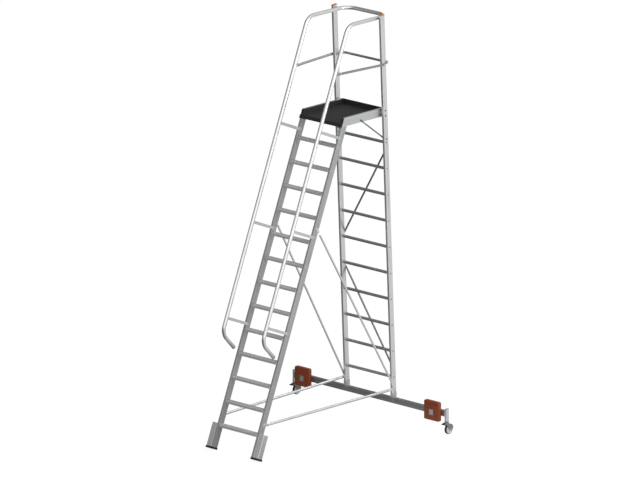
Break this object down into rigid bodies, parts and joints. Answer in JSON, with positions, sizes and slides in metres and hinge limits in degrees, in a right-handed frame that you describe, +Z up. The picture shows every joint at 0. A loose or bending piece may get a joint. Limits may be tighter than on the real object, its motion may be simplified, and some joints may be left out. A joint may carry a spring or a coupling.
{
  "type": "rolling warehouse platform ladder",
  "caption": "Aluminium rolling platform ladder: stepped front with handrails, rung frame behind, guarded black platform, wide rear traverse with swivel castors and orange ballast blocks.",
  "frame": {"origin": "centre of the footprint on the floor, half way between the front feet's front edge and the castor wheels' rear edge, on the ladder's middle plane", "axes": "+Z up, +Y from the climbing side towards the rear frame, +X to the climber's right"},
  "size_m": [2.1908, 2.1646, 4.349],
  "materials": {
    "front_aluminium": "extruded, satin",
    "rear_aluminium": "extruded, satin",
    "polished_aluminium": "polished",
    "bracket_aluminium": "satin",
    "zinc_steel": "zinc plated",
    "black_coated_deck": "matt powder coat",
    "black_plastic": "matt",
    "black_rubber": "matt",
    "orange_plastic": "satin",
    "orange_paint": "satin powder coat",
    "fork_grey": "satin",
    "wheel_grey": "satin"
  },
  "bodies": {
    "frame": {"front_stile_left": "front_aluminium", "front_stile_right": "front_aluminium", "front_steps": "front_aluminium", "step_rivets": "zinc_steel", "foot_profile_left": "rear_aluminium", "foot_profile_right": "rear_aluminium", "foot_cap_left": "black_rubber", "foot_cap_right": "black_rubber", "rear_stile_left": "rear_aluminium", "rear_stile_right": "rear_aluminium", "rear_rungs": "rear_aluminium", "rung_rivets": "zinc_steel", "stile_cap_left": "orange_plastic", "stile_cap_right": "orange_plastic", "rear_brace_upper": "rear_aluminium", "rear_brace_lower": "rear_aluminium", "side_brace_left": "polished_aluminium", "side_brace_right": "polished_aluminium", "base_bar_left": "polished_aluminium", "base_bar_right": "polished_aluminium", "brace_bolts": "zinc_steel", "platform_rail_left": "rear_aluminium", "platform_rail_right": "rear_aluminium", "platform_deck": "black_coated_deck", "platform_bolts": "zinc_steel", "platform_spacers": "black_plastic", "platform_strut_left": "rear_aluminium", "platform_strut_right": "rear_aluminium", "guardrail_left": "polished_aluminium", "handrail_right": "polished_aluminium", "guardrail_splice": "zinc_steel", "handrail_brackets": "bracket_aluminium", "bracket_bolts": "zinc_steel", "knee_rail_left": "polished_aluminium", "knee_rail_right": "polished_aluminium", "knee_rail_back": "polished_aluminium", "knee_rail_bolts": "zinc_steel", "traverse": "rear_aluminium", "traverse_saddle_left": "zinc_steel", "traverse_saddle_right": "zinc_steel", "saddle_bolts": "zinc_steel", "ballast_left": "orange_paint", "ballast_right": "orange_paint", "ballast_plates": "zinc_steel", "ballast_bolts": "zinc_steel", "castor_post_left": "rear_aluminium", "castor_post_right": "rear_aluminium", "castor_stem_left": "zinc_steel", "castor_stem_right": "zinc_steel"},
    "castor_left": {"castor_fork_left": "fork_grey", "castor_axle_left": "zinc_steel"},
    "wheel_left": {"wheel_hub_left": "wheel_grey", "tyre_left": "black_rubber"},
    "pedal_left": {"brake_pedal_left": "black_plastic"},
    "castor_right": {"castor_fork_right": "fork_grey", "castor_axle_right": "zinc_steel"},
    "wheel_right": {"wheel_hub_right": "wheel_grey", "tyre_right": "black_rubber"},
    "pedal_right": {"brake_pedal_right": "black_plastic"}
  },
  "joints": [
    {"name": "castor_swivel_left", "type": "hinge", "parent": "frame", "child": "castor_left", "pos_m": [-1.0715, 0.99977, 0.125], "axis": [0, 0, 1], "continuous": true},
    {"name": "wheel_spin_left", "type": "hinge", "parent": "castor_left", "child": "wheel_left", "pos_m": [-1.0715, 1.02977, 0.0525], "axis": [1, 0, 0], "continuous": true},
    {"name": "brake_pedal_press_left", "type": "hinge", "parent": "castor_left", "child": "pedal_left", "pos_m": [-1.0715, 0.96977, 0.121], "axis": [1, 0, 0], "range_deg": [0, 14]},
    {"name": "castor_swivel_right", "type": "hinge", "parent": "frame", "child": "castor_right", "pos_m": [1.0715, 0.99977, 0.125], "axis": [0, 0, 1], "continuous": true},
    {"name": "wheel_spin_right", "type": "hinge", "parent": "castor_right", "child": "wheel_right", "pos_m": [1.0715, 1.02977, 0.0525], "axis": [1, 0, 0], "continuous": true},
    {"name": "brake_pedal_press_right", "type": "hinge", "parent": "castor_right", "child": "pedal_right", "pos_m": [1.0715, 0.96977, 0.121], "axis": [1, 0, 0], "range_deg": [0, 14]}
  ]
}
